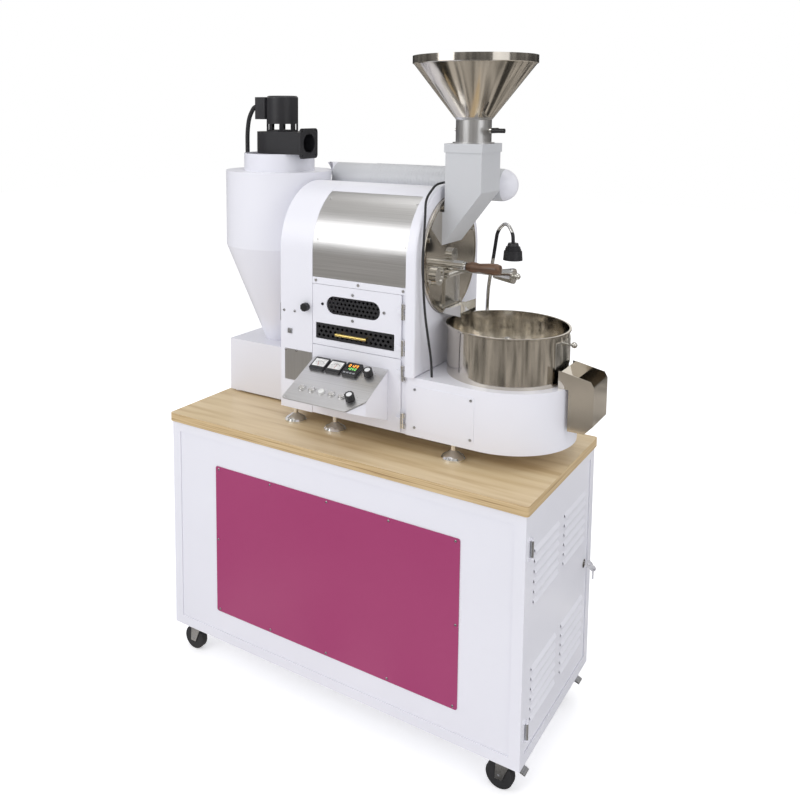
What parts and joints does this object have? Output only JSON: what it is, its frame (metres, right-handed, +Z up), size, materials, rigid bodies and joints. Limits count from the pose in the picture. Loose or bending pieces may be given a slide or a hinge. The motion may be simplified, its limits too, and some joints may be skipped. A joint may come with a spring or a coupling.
{
  "type": "drum coffee roaster on a cabinet",
  "caption": "Small drum coffee roaster with hopper, cyclone, cooling tray and control console, standing on a rolling cabinet.",
  "frame": {"origin": "on the floor under the middle of the whole object's outline", "axes": "+X towards the cooling tray, +Y to the back, +Z up; the operator stands at -Y"},
  "size_m": [1.222, 0.5613, 1.828],
  "materials": {
    "white_coat": "satin powder coat",
    "tinted": "satin powder coat",
    "pine": "clear lacquer",
    "stainless": "brushed",
    "polished": "polished",
    "dark_metal": "black paint",
    "cast": "oiled",
    "black_plastic": "moulded",
    "rubber": "tyre tread",
    "zinc": "zinc plated"
  },
  "bodies": {
    "roaster": {"tinted_plate": "tinted", "worktop": "pine", "drive_housing": "white_coat", "chassis": "white_coat", "barrel_shell": "white_coat", "front_plate": "white_coat", "face_disc": "polished", "discharge_chute": "polished", "hopper": "polished", "feed_box": "white_coat", "base_housing": "white_coat", "access_panel": "white_coat", "tray_sieve": "stainless", "chaff_box": "white_coat", "blower_housing": "dark_metal", "blower_motor": "dark_metal", "leads": "black_plastic", "work_lamp": "polished", "cabinet_panels": "white_coat", "cabinet_frame": "white_coat", "barrel_cover": "stainless", "body_fittings": "polished", "gear_motors": "cast", "cyclone": "white_coat", "cooling_tray": "polished", "face_fittings": "polished"},
    "side_door": {"side_door": "white_coat"},
    "door_lock": {"door_lock": "polished"},
    "upper_door": {"upper_door": "white_coat", "window_mesh": "dark_metal"},
    "spill_drawer": {"spill_drawer": "polished"},
    "lower_door": {"lower_door": "white_coat", "console_plate": "stainless", "panel_instruments": "black_plastic"},
    "fan_knob": {"fan_knob": "black_plastic"},
    "heat_knob": {"heat_knob": "black_plastic"},
    "air_knob": {"air_knob": "black_plastic"},
    "drum": {"drum": "cast"},
    "motor_sprocket": {"motor_sprocket": "cast"},
    "discharge_flap": {"discharge_flap": "polished"},
    "trier": {"trier": "polished"},
    "hopper_valve": {"hopper_valve": "black_plastic"},
    "stirrer": {"stirrer": "polished"},
    "tray_gate": {"tray_gate": "polished"},
    "blower_impeller": {"blower_impeller": "dark_metal"},
    "fork_front_left": {"caster_fork_front_left": "zinc"},
    "wheel_front_left": {"caster_wheel_front_left": "rubber"},
    "fork_front_right": {"caster_fork_front_right": "zinc"},
    "wheel_front_right": {"caster_wheel_front_right": "rubber"},
    "fork_rear_left": {"caster_fork_rear_left": "zinc"},
    "wheel_rear_left": {"caster_wheel_rear_left": "rubber"},
    "fork_rear_right": {"caster_fork_rear_right": "zinc"},
    "wheel_rear_right": {"caster_wheel_rear_right": "rubber"},
    "pedal_front_right": {"brake_pedal_front_right": "zinc"},
    "pedal_rear_right": {"brake_pedal_rear_right": "zinc"},
    "button_1": {"button_1": "polished"},
    "button_2": {"button_2": "polished"},
    "button_3": {"button_3": "polished"},
    "button_4": {"button_4": "polished"},
    "button_5": {"button_5": "polished"}
  },
  "joints": [
    {"name": "side_door_hinge", "type": "hinge", "parent": "roaster", "child": "side_door", "pos_m": [0.5483, -0.22208, 0.423], "axis": [0, 0, -1], "range_deg": [0, 110]},
    {"name": "lock_turn", "type": "hinge", "parent": "side_door", "child": "door_lock", "pos_m": [0.539, 0.20992, 0.423], "axis": [1, 0, 0], "range_deg": [0, 90]},
    {"name": "swivel_front_left", "type": "hinge", "parent": "roaster", "child": "fork_front_left", "pos_m": [-0.524, -0.20008, 0.092], "axis": [0, 0, 1], "continuous": true},
    {"name": "roll_front_left", "type": "hinge", "parent": "fork_front_left", "child": "wheel_front_left", "pos_m": [-0.54, -0.20008, 0.036], "axis": [0, 1, 0], "continuous": true},
    {"name": "swivel_front_right", "type": "hinge", "parent": "roaster", "child": "fork_front_right", "pos_m": [0.492, -0.20008, 0.092], "axis": [0, 0, 1], "continuous": true},
    {"name": "roll_front_right", "type": "hinge", "parent": "fork_front_right", "child": "wheel_front_right", "pos_m": [0.476, -0.20008, 0.036], "axis": [0, 1, 0], "continuous": true},
    {"name": "swivel_rear_left", "type": "hinge", "parent": "roaster", "child": "fork_rear_left", "pos_m": [-0.524, 0.21592, 0.092], "axis": [0, 0, 1], "continuous": true},
    {"name": "roll_rear_left", "type": "hinge", "parent": "fork_rear_left", "child": "wheel_rear_left", "pos_m": [-0.54, 0.21592, 0.036], "axis": [0, 1, 0], "continuous": true},
    {"name": "swivel_rear_right", "type": "hinge", "parent": "roaster", "child": "fork_rear_right", "pos_m": [0.492, 0.21592, 0.092], "axis": [0, 0, 1], "continuous": true},
    {"name": "roll_rear_right", "type": "hinge", "parent": "fork_rear_right", "child": "wheel_rear_right", "pos_m": [0.476, 0.21592, 0.036], "axis": [0, 1, 0], "continuous": true},
    {"name": "brake_front_right", "type": "hinge", "parent": "fork_front_right", "child": "pedal_front_right", "pos_m": [0.516, -0.20008, 0.077], "axis": [0, 1, 0], "range_deg": [0, 12]},
    {"name": "brake_rear_right", "type": "hinge", "parent": "fork_rear_right", "child": "pedal_rear_right", "pos_m": [0.516, 0.21592, 0.077], "axis": [0, 1, 0], "range_deg": [0, 12]},
    {"name": "upper_door_hinge", "type": "hinge", "parent": "roaster", "child": "upper_door", "pos_m": [0.14, -0.12108, 1.1], "axis": [0, 0, 1], "range_deg": [0, 105]},
    {"name": "lower_door_hinge", "type": "hinge", "parent": "roaster", "child": "lower_door", "pos_m": [0.14, -0.12108, 0.918], "axis": [0, 0, 1], "range_deg": [0, 90]},
    {"name": "drawer_slide", "type": "slide", "parent": "roaster", "child": "spill_drawer", "axis": [0, -1, 0], "range_m": [0, 0.14]},
    {"name": "fan_knob_turn", "type": "hinge", "parent": "lower_door", "child": "fan_knob", "pos_m": [0.052, -0.14775, 0.96932], "axis": [0, -0.4317, 0.902], "range_deg": [0, 270]},
    {"name": "heat_knob_turn", "type": "hinge", "parent": "lower_door", "child": "heat_knob", "pos_m": [0.051, -0.23858, 0.92586], "axis": [0, -0.4317, 0.902], "range_deg": [0, 270]},
    {"name": "button_1_press", "type": "slide", "parent": "lower_door", "child": "button_1", "axis": [0, 0.4317, -0.902], "range_m": [0, 0.003], "stiffness_N_per_m": 400},
    {"name": "button_2_press", "type": "slide", "parent": "lower_door", "child": "button_2", "axis": [0, 0.4317, -0.902], "range_m": [0, 0.003], "stiffness_N_per_m": 400},
    {"name": "button_3_press", "type": "slide", "parent": "lower_door", "child": "button_3", "axis": [0, 0.4317, -0.902], "range_m": [0, 0.003], "stiffness_N_per_m": 400},
    {"name": "button_4_press", "type": "slide", "parent": "lower_door", "child": "button_4", "axis": [0, 0.4317, -0.902], "range_m": [0, 0.003], "stiffness_N_per_m": 400},
    {"name": "button_5_press", "type": "slide", "parent": "lower_door", "child": "button_5", "axis": [0, 0.4317, -0.902], "range_m": [0, 0.003], "stiffness_N_per_m": 400},
    {"name": "air_knob_turn", "type": "hinge", "parent": "roaster", "child": "air_knob", "pos_m": [-0.175, -0.11708, 1.124], "axis": [0, -1, 0], "range_deg": [0, 270]},
    {"name": "drum_spin", "type": "hinge", "parent": "roaster", "child": "drum", "pos_m": [0.15, 0.07092, 1.283], "axis": [1, 0, 0], "continuous": true},
    {"name": "motor_spin", "type": "hinge", "parent": "roaster", "child": "motor_sprocket", "pos_m": [-0.227, 0.07092, 1.093], "axis": [1, 0, 0], "continuous": true},
    {"name": "discharge_hinge", "type": "hinge", "parent": "roaster", "child": "discharge_flap", "pos_m": [0.1943, 0.07092, 1.231], "axis": [0, -1, 0], "range_deg": [0, 55]},
    {"name": "trier_pull", "type": "slide", "parent": "roaster", "child": "trier", "axis": [1, 0, 0], "range_m": [0, 0.03]},
    {"name": "valve_turn", "type": "hinge", "parent": "roaster", "child": "hopper_valve", "pos_m": [0.245, 0.07092, 1.6295], "axis": [1, 0, 0], "range_deg": [0, 90]},
    {"name": "stirrer_spin", "type": "hinge", "parent": "roaster", "child": "stirrer", "pos_m": [0.357, 0.07092, 1.024], "axis": [0, 0, 1], "continuous": true},
    {"name": "gate_slide", "type": "hinge", "parent": "roaster", "child": "tray_gate", "pos_m": [0.357, 0.07092, 1.024], "axis": [0, 0, 1], "range_deg": [0, 42]},
    {"name": "impeller_spin", "type": "hinge", "parent": "roaster", "child": "blower_impeller", "pos_m": [-0.429, 0.10992, 1.547], "axis": [0, 0, 1], "continuous": true}
  ],
  "couplings": [
    {"joint": "motor_spin", "follows": "drum_spin", "ratio": 2.4}
  ]
}
